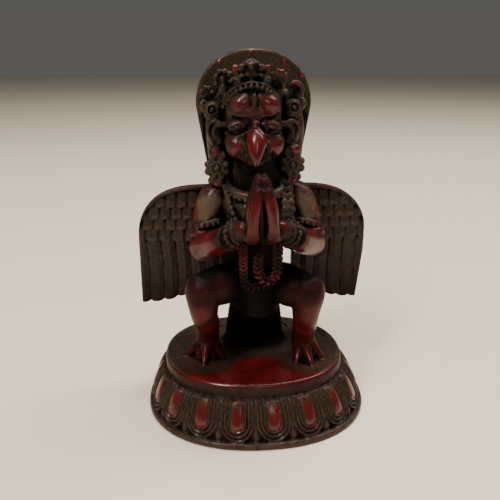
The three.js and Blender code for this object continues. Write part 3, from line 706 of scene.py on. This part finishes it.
def relaxed(values, edges, rounds, strength=1.0):
    """Values drawn towards the mean of their neighbours, a number of rounds."""
    values = np.array(values, float)
    count = len(values)
    first, second = edges[:, 0], edges[:, 1]
    valence = np.bincount(first, minlength=count) + np.bincount(second, minlength=count)
    columns = values.reshape(count, -1)
    for _ in range(rounds):
        for k in range(columns.shape[1]):
            column = columns[:, k]
            total = (np.bincount(first, column[second], count) + np.bincount(second, column[first], count))
            columns[:, k] = column + strength * (total / np.maximum(valence, 1) - column)
    return columns.reshape(values.shape)


def with_modifier(item, kind, **settings):
    """Give the item a modifier and make its result the item's own mesh."""
    modifier = item.modifiers.new(kind.lower(), kind)
    for name, value in settings.items():
        setattr(modifier, name, value)
    bpy.context.view_layer.update()
    result = bpy.data.meshes.new_from_object(item.evaluated_get(bpy.context.evaluated_depsgraph_get()))
    item.modifiers.clear()
    item.data = result


for form in forms:
    casting.from_mesh(form)
mesh = bpy.data.meshes.new("garuda_casting")
casting.to_mesh(mesh)
casting.free()
garuda = bpy.data.objects.new("garuda_casting", mesh)
bpy.context.scene.collection.objects.link(garuda)
with_modifier(garuda, "REMESH", mode="VOXEL", voxel_size=VOXEL, adaptivity=0)
points, edges, normals = laid_open(garuda.data)
skin = relaxed(points, edges, 2, 0.5)
plinth = points[:, 2] < SLAB_TOP - 4.5
skin[plinth] = 0.7 * points[plinth] + 0.3 * skin[plinth]
frontal = (skin[:, 1] < -3) & (normals[:, 1] < -0.1)
backing = (skin[:, 1] > 5) & (normals[:, 1] < -0.5)
# Lips of the cheeks, eyelids, brows, beak edges and mouth
for line, width, height in (
        (((-10, 77.6), (-8.5, 78), (-6.7, 77.8), (-4.8, 78.5), (-3.4, 79.7), (-1.8, 80.8)), 0.45, 0.55),
        (((-1.8, 80.8), (-0.2, 80), (1.3, 78.7), (2.9, 78), (4.8, 77.8), (7.3, 77.9)), 0.45, 0.55),
        (((-9.6, 78.8), (-6.7, 78.7), (-4.6, 79.6), (-3, 81)), 0.6, -0.7),
        (((-0.4, 81), (1.2, 79.6), (3, 78.9), (7, 78.9)), 0.6, -0.7),
        (((-9.3, 80.2), (-8.6, 81.6), (-7.3, 82.2), (-5.8, 81.9), (-4.6, 80.9)), 0.3, 0.45),
        (((-9.3, 80.2), (-8.4, 79.2), (-6.7, 78.8), (-5.2, 79.3), (-4.6, 80.9)), 0.3, 0.35),
        (((1.4, 81), (2.2, 81.8), (3.8, 82.1), (5.4, 81.5), (6.6, 79.9)), 0.3, 0.45),
        (((1.4, 81), (2.6, 79.3), (4.2, 78.8), (5.6, 79.1), (6.6, 79.9)), 0.3, 0.35),
        (((-8.3, 80.4), (-7.1, 81.2), (-5.8, 81), (-5.3, 80.3), (-6.4, 79.6), (-7.6, 79.7), (-8.3, 80.4)),
         0.26, -0.5),
        (((2.2, 80.5), (3, 81.1), (4.3, 81.1), (5.4, 80.4), (4.4, 79.6), (3, 79.6), (2.2, 80.5)), 0.26, -0.5),
        (((-8.2, 83.4), (-5.7, 82.9), (-3.8, 83.2), (-2.4, 81.9)), 0.4, -0.5),
        (((6.6, 84.4), (3.9, 83.2), (1.6, 83), (0.3, 81.5)), 0.4, -0.6),
        (((-8, 84.2), (-5.6, 83.8), (-3.6, 84)), 0.45, 0.35),
        (((6.2, 85.2), (3.8, 84.1), (1.4, 84)), 0.45, 0.35),
        (((-4.6, 85.2), (-3.6, 85.4), (-2.7, 85.1)), 0.3, 0.35),
        (((0.2, 85.2), (1.2, 85.4)), 0.3, 0.3),
        (((-8.2, 87), (-6.6, 86)), 0.25, 0.3),
        (((-8.4, 86), (-7, 85)), 0.25, 0.3),
        (((-2.9, 90.6), (-3.1, 88.6), (-2.6, 86.8)), 0.35, -0.4),
        (((-0.4, 90.6), (-0.2, 88.6), (-0.6, 86.8)), 0.35, -0.4),
        (((-2, 80.6), (-4.1, 78.6), (-4.9, 76.5), (-4.1, 74.5), (-3.8, 72.8), (-2.6, 70.6)), 0.35, -0.4),
        (((-1.4, 80.6), (-0.2, 79.8), (1.3, 78.1), (2.4, 75.9), (1.7, 74.2), (0.9, 72.7), (0, 70.8)),
         0.35, -0.4),
        (((-5.6, 75), (-6.4, 73.4), (-6.5, 71.8), (-6, 70.6)), 0.4, -0.5),
        (((2.8, 75), (3.9, 73.3), (4.3, 71.7), (3.9, 70.6)), 0.4, -0.5),
        (((-4, 71.6), (-5.3, 71.5), (-5.7, 72.5), (-4.8, 73.4)), 0.32, -0.5),
        (((1, 71.6), (2.6, 71.2), (3.5, 72), (2.8, 72.9)), 0.32, -0.5),
        (((-6.4, 70.9), (-4.7, 70), (-2.8, 69.5)), 0.3, 0.35),
        (((0, 69.5), (2.2, 70), (4.2, 70.8)), 0.3, 0.35)):
    carve(skin, normals, line, width, height, frontal)
# Notches between the leaves of the garland
for points, count, radius in GARLAND:
    for place, along in spaced(points, count):
        for side in (-1, 1):
            away = place + along.cross(Y) * side * radius - along * radius * 0.7
            carve(skin, normals, ((place.x, place.z), (away.x, away.z)), 0.24, -0.5, frontal)
# Grooves down the sides of the halo
for line in (((-18.4, 82), (-18.2, 73), (-17, 64)), ((-17, 82), (-16.7, 73), (-15.6, 64)),
             ((16.9, 82), (16.7, 73), (15.8, 64)), ((18.2, 82), (17.9, 73), (17, 64))):
    carve(skin, normals, line, 0.45, -0.5, backing)
# Cracks in the slab's top, and plain grooves on the backs of the wings
paving = (np.abs(skin[:, 2] - SLAB_TOP) < 0.5) & (normals[:, 2] > 0.8)
for line in (((-12.4, 17), (-11, 19.4), (-9.6, 21), (-9, 23.6), (-7.6, 24.8)),
             ((10.2, 21.6), (11, 19.4), (12.6, 18), (13.4, 15.2)),
             ((22.2, 8.6), (23.8, 7.4), (25.2, 7.6), (26.4, 6.2), (28, 5.6))):
    carve(skin, normals, line, 0.35, -0.6, paving, (0, 1))
behind = (skin[:, 1] > WING_BACK - 0.4) & (normals[:, 1] > 0.8)
for side in (-1, 1):
    for groove in range(5):
        across = side * (38.3 - PRIMARY_PITCH * groove)
        carve(skin, normals, ((across, 17), (across, 32), (across * 0.985, 47)), 0.5, -0.45, behind)
garuda.data.vertices.foreach_set("co", skin.ravel())
garuda.data.update()
with_modifier(garuda, "DECIMATE", ratio=min(1, TRIANGLES / (2 * len(garuda.data.polygons))))
casting = bmesh.new()
casting.from_mesh(garuda.data)
for _ in range(4):
    casting.normal_update()
    coarse = [edge for edge in casting.edges if edge.calc_length() > 1.8 and edge.verts[0].co.z > SLAB_TOP - 1
              and all(max(face.normal.z, -face.normal.y) > 0.8 for face in edge.link_faces)]
    bmesh.ops.subdivide_edges(casting, edges=coarse, cuts=1)
    bmesh.ops.triangulate(casting, faces=[face for face in casting.faces if len(face.verts) > 3])
casting.to_mesh(garuda.data)
casting.free()

# Wear
# Hands and cloth have polished the red resin on the high places; black wax stays in the hollows and
# a grey-brown dust lies on the halo, the wings and the back of the slab. Hollows and places under the chin,
# hands and thighs are darkened further as painted shade, the pale dust on the upper arms is partly a
# painted sheen, and pale ridges are partly a painted highlight. Each is kept per vertex.
POLISHED = (
    (-1.2, -14.5, 78, 3, 1), (-1.2, -17, 75, 3.6, 1.1), (-1.4, -19, 72, 3, 1.1), (-5.6, -10.4, 87, 2.9, 0.5),
    (3, -10.4, 87, 3.2, 0.7), (-1.4, -11, 84.4, 4.4, 0.3), (3, -10, 84, 2.4, 0.45), (-7, -11, 73.8, 2.8, 0.6),
    (4.8, -11, 74.2, 2.8, 0.8), (-21.4, -2, 51, 3.4, 0.7), (21.4, -2, 51, 3.4, 0.7),
    (-15, -13, 44, 7, 0.75), (15, -13, 44, 7, 0.85), (-18, -6, 42, 7, 0.55), (18, -6, 42, 7, 0.6),
    (-3.4, -30, 57, 6.5, 0.6), (2.8, -30, 57, 6.5, 0.8),
    (-20, -20, 22, 5, 0.35), (17, -20, 21, 5, 0.4), (-5.6, -17, 38, 5, 0.45), (2, -17, 33, 4, 0.5),
    (-18, -13, 13, 7, 0.5), (16, -14, 12, 7, 0.6), (-18, -9, 2, 8, 0.45), (17, -11, 2, 8, 0.5),
    (-0.9, 9, 102.6, 1.5, 0.9), (-11.3, 9, 99, 1.5, 0.8), (10, 9, 99, 1.7, 0.9),
    (16, 9, 95, 1.4, 0.9), (-13, -6, 71.6, 1.8, 0.6), (12.4, -6, 72.4, 2, 1), (11.8, -6, 62.8, 1.8, 0.9),
    (-13.4, -6, 61.6, 1.8, 0.7), (-2.3, -9, 98.6, 1.3, 0.5), (-7.2, -8, 98.2, 1.2, 0.6),
    (2.8, -8, 98.2, 1.2, 0.6), (7.2, -5, 96.6, 1.6, 0.5), (13.6, 2, 92.4, 1.5, 0.6))
# Dust spots (x, y, z, radius, strength); the two over the upper arms paint a satin sheen there as pale wax, a
# painted highlight.
DUST_AND_SHEEN_SPOTS = (
    (0, 14, 90, 28, 0.85), (-30, 12, 40, 22, 0.75), (30, 12, 40, 22, 0.75),
    (-6, -8, 56, 8, 0.9), (6, -8, 56, 8, 0.9),
    (-13, -4, 66, 7, 0.8), (12, -4, 67, 7, 0.8),
    (-2, -4, 97, 12, 0.6), (-14, 0, 88, 8, 0.8), (13, 0, 88, 8, 0.8), (-14, -3, 78, 5, 0.8),
    (12, -3, 78, 5, 0.8), (-8, -22, 50, 5, 0.5), (8, -22, 50, 5, 0.5),
    (-16, -4, 53, 7, 1.2), (16, -4, 53, 7, 1))
# Spots of black wax and painted shade (x, y, z, radius, strength): throat, lap, thighs, knee tops under the
# hands, behind the legs, crown.
WAX_AND_SHADE_SPOTS = (
    (-1, -7, 67, 6.5, 1.8), (0, -8, 22, 10, 1.3), (-1, -12, 38, 8, 0.8),
    (-10, -10, 27, 9, 1.5), (9, -10, 27, 9, 1.5),
    (-18, -16, 33, 7, 1), (15, -16, 32, 7, 1), (0, 4, 8, 12, 1), (0, 8, 0, 11, 0.7), (-1, -22, 46, 5, 0.7),
    (0, -6, 96, 8, 1), (-11, -3, 93, 5, 0.8), (7, -4, 94, 5, 0.8), (-15, 2, 88, 5, 0.6), (13, 2, 88, 5, 0.6))
OPEN = ((-1.4, -12, 79, 9, 1), (-18, -8, 0, 8, 1), (17.5, -10, 0, 8, 1))
TOES = ((-18, -10, 0, 9, 1), (17.5, -12, 0, 9, 1))
SKY_RAYS = 18
SKY_REACH = 10.0


def reached(places, spots):
    """How strongly the nearest of the spots (x, y, z, radius, strength) reaches each place."""
    best = np.zeros(len(places))
    for x, y, z, radius, strength in spots:
        away = np.linalg.norm(places - (x, y, z + SLAB_TOP), axis=1) / radius
        best = np.maximum(best, strength * np.clip(1.6 - 1.2 * away, 0, 1))
    return best


def buried(places, normals, tree):
    """Share of each place's outlook that the casting itself closes off."""
    blocked, total = np.zeros(len(places)), np.zeros(len(places))
    starts = [Vector(row) for row in places + 0.12 * normals]
    for k in range(SKY_RAYS):
        up = (k + 0.5) / SKY_RAYS
        spin = k * 2.39996
        level = math.sqrt(1 - up * up)
        ray = np.array((level * math.cos(spin), level * math.sin(spin), up))
        facing = normals @ ray
        rays = np.sign(facing)[:, None] * ray
        hits = np.array([tree.ray_cast(start, way, SKY_REACH)[0] is not None
                         for start, way in zip(starts, rays.tolist())])
        blocked += np.abs(facing) * hits
        total += np.abs(facing)
    return blocked / total


def keep(name, values):
    """Store values from 0 to 1.2 on the casting's vertices."""
    garuda.data.attributes.new(name, "FLOAT", "POINT").data.foreach_set("value", np.clip(values, 0, 1.2))


points, edges, normals = laid_open(garuda.data)
tree = BVHTree.FromObject(garuda, bpy.context.evaluated_depsgraph_get())
# The casting's own occlusion darkens hollows and the places under other parts: black wax and painted shade.
depth = relaxed(buried(points, normals, tree), edges, 2, 0.6)
fine = ((relaxed(points, edges, 3) - points) * normals).sum(axis=1)
broad = ((relaxed(points, edges, 14) - points) * normals).sum(axis=1)
above = points[:, 2] > SLAB_TOP - 0.8
# Black wax and painted shade: the occlusion, eased on the face, the feet and the plinth, plus the spots.
softened = np.where(points[:, 2] < SLAB_TOP - 5, 0.45, 1 - 0.6 * np.clip(reached(points, OPEN), 0, 1))
keep("depth", softened * depth + 0.45 * reached(points, WAX_AND_SHADE_SPOTS))
# Convex curvature: for rubbed red on high edges, and for the pale ridges that are partly a painted highlight.
keep("crest", relaxed(-3 * fine - 0.5 * broad, edges, 1))
# Concave curvature, which deepens the black wax and painted shade in grooves.
keep("dip", np.where(above, 0.9, 0.45) * relaxed(9 * fine + 1.6 * broad, edges, 1))
bosses = np.zeros(len(points))
level = np.clip((points[:, 2] - RIM_HEIGHT) / LOTUS_HEIGHT, 0, 1)
BOSS_CIRCLE = 31.0
angle = np.arctan2(points[:, 1] / BOSS_CIRCLE, points[:, 0] / (BOSS_CIRCLE + OVAL_STRETCH))
turn = angle / (2 * math.pi) * PETALS + PETAL_PHASE
across = np.abs(2 * (turn - np.floor(turn)) - 1) * PETAL_HALF
outer = np.hypot(points[:, 0], points[:, 1]) > SLAB_DEPTH / 2 - 2
tongue = (across < BOSS_HALF) & (level > 0.25) & outer
bosses[tongue] = 0.82 * np.clip((0.95 - level[tongue]) / 0.2, 0, 1)
forward = np.clip((-5 - 0.25 * np.abs(points[:, 0]) - points[:, 1]) / 7, 0, 1)
trodden = np.where(points[:, 2] < SLAB_TOP + 0.4, forward, 0)
trodden *= 1 - np.clip(1.3 * reached(points, TOES), 0, 1)
trodden[points[:, 2] < SLAB_TOP - 0.1] *= 0.6
keep("polish", np.where(above, np.maximum(reached(points, POLISHED), trodden), bosses))
slab_side = (points[:, 2] < SLAB_TOP - 0.5) & (points[:, 2] > slab_foot)
on_slab = np.abs(points[:, 2] - SLAB_TOP) < 0.4
dust_and_sheen = np.where(above, reached(points, DUST_AND_SHEEN_SPOTS), np.where(slab_side, 0.28, 0.68))
keep("dust_and_sheen", np.where(on_slab, 0.75 * (1 - trodden), dust_and_sheen))
garuda.data.transform(Matrix.Scale(MM, 4))
garuda.data.update()
for polygon in garuda.data.polygons:
    polygon.use_smooth = True

# Resin
# Dark red resin cast solid: glossy where it is rubbed, duller under old black wax, with a faint
# sheen where wax dust lies on it, and a fine uneven grain all over. Its colour also holds painted
# shade in hollows and under parts, and painted highlights on ridges and the upper arms.


def node(tree, kind, *links, **settings):
    """Add a node, set its properties, and fill its inputs in order with values or links."""
    made = tree.nodes.new(kind)
    for name, value in settings.items():
        setattr(made, name, value)
    for k, value in enumerate(links):
        if isinstance(value, bpy.types.NodeSocket):
            tree.links.new(value, made.inputs[k])
        elif value is not None:
            made.inputs[k].default_value = value
    return made


def blend(tree, share, below, above):
    """One colour laid over another by a share."""
    mixed = node(tree, "ShaderNodeMix", data_type="RGBA")
    for socket, value in (("Factor_Float", share), ("A_Color", below), ("B_Color", above)):
        place = [entry for entry in mixed.inputs if entry.identifier == socket][0]
        if isinstance(value, bpy.types.NodeSocket):
            tree.links.new(value, place)
        else:
            place.default_value = value
    return [entry for entry in mixed.outputs if entry.identifier == "Result_Color"][0]


def ramp(tree, value, low, high, start=0, end=1):
    """A smooth step of a value from low to high."""
    return node(tree, "ShaderNodeMapRange", value, low, high, start, end,
                interpolation_type="SMOOTHSTEP").outputs[0]


def maths(tree, operation, *values):
    return node(tree, "ShaderNodeMath", *values, operation=operation).outputs[0]


def wear_group():
    """A shader group that turns the casting's marks into colour, roughness, shine and fine relief."""
    group = bpy.data.node_groups.new("worn_resin", "ShaderNodeTree")
    for name in ("Depth", "Crest", "Dip", "Polish", "Dust_and_sheen"):
        group.interface.new_socket(name, in_out="INPUT", socket_type="NodeSocketFloat")
    group.interface.new_socket("Color", in_out="OUTPUT", socket_type="NodeSocketColor")
    for name in ("Roughness", "Coat", "Height"):
        group.interface.new_socket(name, in_out="OUTPUT", socket_type="NodeSocketFloat")
    marks = group.nodes.new("NodeGroupInput").outputs
    place = group.nodes.new("ShaderNodeTexCoord").outputs["Object"]
    clouds = node(group, "ShaderNodeTexNoise", place, None, 220.0, 4.0, 0.6).outputs[0]
    grain = node(group, "ShaderNodeTexNoise", place, None, 1300.0, 3.0, 0.6).outputs[0]
    specks = node(group, "ShaderNodeTexNoise", place, None, 620.0, 2.0, 0.7).outputs[0]
    uneven = maths(group, "MULTIPLY_ADD", clouds, 0.7, maths(group, "MULTIPLY", grain, 0.3))
    # Black wax and painted shade: grooves and occluded places go towards near black.
    hollow = maths(group, "MULTIPLY_ADD", marks["Dip"], 0.45, marks["Depth"])
    black_wax_and_shade = ramp(group, maths(group, "MULTIPLY_ADD", uneven, 0.25, hollow), 0.42, 0.92)
    open_air = maths(group, "SUBTRACT", 1.0, black_wax_and_shade)
    dust_and_sheen = maths(group, "MULTIPLY", marks["Dust_and_sheen"], ramp(group, uneven, 0.36, 0.56, 0.85, 1))
    dust_and_sheen = maths(group, "MULTIPLY", dust_and_sheen, open_air)
    rubbed = maths(group, "MULTIPLY_ADD", ramp(group, marks["Crest"], 0.2, 0.6), 0.3, marks["Polish"])
    rubbed = maths(group, "MULTIPLY", rubbed, ramp(group, uneven, 0.3, 0.6, 0.85, 1.05))
    rubbed = ramp(group, maths(group, "SUBTRACT", rubbed, maths(group, "MULTIPLY", black_wax_and_shade, 0.6)), 0.05, 1.0)
    # Pale ridges: dust on the crests, partly a painted highlight along them.
    edge = maths(group, "MULTIPLY", ramp(group, marks["Crest"], 0.16, 0.5), ramp(group, specks, 0.35, 0.6))
    edge = maths(group, "MULTIPLY", edge, ramp(group, marks["Dust_and_sheen"], 0.1, 0.7))
    body = blend(group, ramp(group, clouds, 0.35, 0.65), (0.010, 0.005, 0.0045, 1), (0.022, 0.007, 0.006, 1))
    # Thick dust gives paler wax; on the upper arms this pale wax is a painted sheen.
    thick_dust_and_sheen = ramp(group, marks["Dust_and_sheen"], 0.7, 1.2, 0, 0.9)
    heavy_dust_and_sheen = maths(group, "MULTIPLY_ADD", ramp(group, grain, 0.35, 0.65), 0.3, thick_dust_and_sheen)
    wax_and_sheen_colour = blend(group, heavy_dust_and_sheen, (0.018, 0.013, 0.009, 1), (0.090, 0.064, 0.042, 1))
    red = blend(group, ramp(group, clouds, 0.3, 0.7), (0.052, 0.004, 0.005, 1), (0.088, 0.006, 0.007, 1))
    color = blend(group, dust_and_sheen, body, wax_and_sheen_colour)
    color = blend(group, rubbed, color, red)
    edge = maths(group, "MULTIPLY", edge, maths(group, "SUBTRACT", 1.0, rubbed))
    # Near black where black wax and painted shade lie.
    color = blend(group, black_wax_and_shade, color, (0.004, 0.003, 0.0025, 1))
    # Lay the pale ridges on: dust colour that is partly a painted highlight.
    color = blend(group, maths(group, "MULTIPLY", edge, 0.45), color, (0.085, 0.064, 0.045, 1))
    rough = maths(group, "MULTIPLY_ADD", dust_and_sheen, 0.06, maths(group, "MULTIPLY_ADD", grain, 0.16, 0.32))
    rough = maths(group, "MULTIPLY_ADD", rubbed, -0.14, rough)
    rough = maths(group, "MULTIPLY_ADD", black_wax_and_shade, 0.2, rough)
    bright = maths(group, "POWER", rubbed, 3.0)
    coat = maths(group, "MULTIPLY_ADD", dust_and_sheen, 0.25, maths(group, "MULTIPLY", bright, 0.6))
    plain = maths(group, "POWER", maths(group, "SUBTRACT", 1.05, rubbed), 2.0)
    height = maths(group, "MULTIPLY", maths(group, "ADD", grain, clouds), plain)
    outputs = group.nodes.new("NodeGroupOutput").inputs
    for name, value in (("Color", color), ("Roughness", rough), ("Coat", coat), ("Height", height)):
        group.links.new(value, outputs[name])
    return group


resin = bpy.data.materials.new("aged_resin")
resin.use_nodes = True
tree = resin.node_tree
shader = tree.nodes["Principled BSDF"]
wear = node(tree, "ShaderNodeGroup", node_tree=wear_group())
for name in ("Depth", "Crest", "Dip", "Polish", "Dust_and_sheen"):
    mark = node(tree, "ShaderNodeAttribute", attribute_name=name.lower())
    tree.links.new(mark.outputs["Fac"], wear.inputs[name])
bump = node(tree, "ShaderNodeBump")
bump.inputs["Strength"].default_value = 0.5
bump.inputs["Distance"].default_value = 0.00025
tree.links.new(wear.outputs["Height"], bump.inputs["Height"])
tree.links.new(wear.outputs["Color"], shader.inputs["Base Color"])
tree.links.new(wear.outputs["Roughness"], shader.inputs["Roughness"])
tree.links.new(wear.outputs["Coat"], shader.inputs["Coat Weight"])
tree.links.new(bump.outputs["Normal"], shader.inputs["Normal"])
shader.inputs["Specular IOR Level"].default_value = 0.06
shader.inputs["Coat Roughness"].default_value = 0.22
garuda.data.materials.clear()
garuda.data.materials.append(resin)
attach(garuda, "root")
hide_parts("garuda_figure")

# Floor, light and camera
# A plain pale table top, wide enough to fill the view, lit by four soft panels: a key at the left,
# one overhead, one at the right and a weak one in front.
floor_mesh = bmesh.new()
bmesh.ops.create_grid(floor_mesh, x_segments=1, y_segments=1, size=3)
floor_data = bpy.data.meshes.new("floor")
floor_mesh.to_mesh(floor_data)
floor_mesh.free()
floor = bpy.data.objects.new("floor", floor_data)
bpy.context.scene.collection.objects.link(floor)
paint = bpy.data.materials.new("pale_floor")
paint.use_nodes = True
paint.node_tree.nodes["Principled BSDF"].inputs["Base Color"].default_value = (0.80, 0.71, 0.59, 1)
paint.node_tree.nodes["Principled BSDF"].inputs["Roughness"].default_value = 0.6
floor.data.materials.append(paint)

world = bpy.data.worlds.new("studio")
bpy.context.scene.world = world
world.use_nodes = True
world.node_tree.nodes["Background"].inputs["Color"].default_value = (0.95, 0.92, 0.88, 1)
world.node_tree.nodes["Background"].inputs["Strength"].default_value = 0.11


def panel_light(name, place, aim, size, power):
    """A soft rectangular lamp that faces the given point."""
    lamp = bpy.data.lights.new(name, "AREA")
    lamp.shape = "RECTANGLE"
    lamp.size, lamp.size_y = size
    lamp.energy = power
    lamp.color = (1, 0.93, 0.83)
    item = bpy.data.objects.new(name, lamp)
    item.location = place
    item.rotation_euler = (Vector(aim) - Vector(place)).to_track_quat("-Z", "Y").to_euler()
    bpy.context.scene.collection.objects.link(item)


panel_light("key", (-0.45, -0.5, 0.95), (0, 0, 0.07), (0.22, 0.5), 11.5)
panel_light("ceiling", (0.1, 0.1, 1.2), (0, 0, 0.06), (0.5, 0.5), 13)
panel_light("right", (0.6, 0.2, 0.9), (0, 0, 0.07), (0.25, 0.6), 6)
panel_light("front", (0.15, -1.1, 0.7), (0, 0, 0.06), (0.2, 0.4), 1.5)

camera_data = bpy.data.cameras.new("camera")
camera_data.sensor_width = 36
camera_data.lens = 43.2
camera = bpy.data.objects.new("camera", camera_data)
camera.location = (-0.01763, -0.19722, 0.1226)
camera.rotation_euler = (math.radians(71.57), 0, math.radians(-4.5))
camera_data.clip_start = 0.01
bpy.context.scene.collection.objects.link(camera)
bpy.context.scene.camera = camera
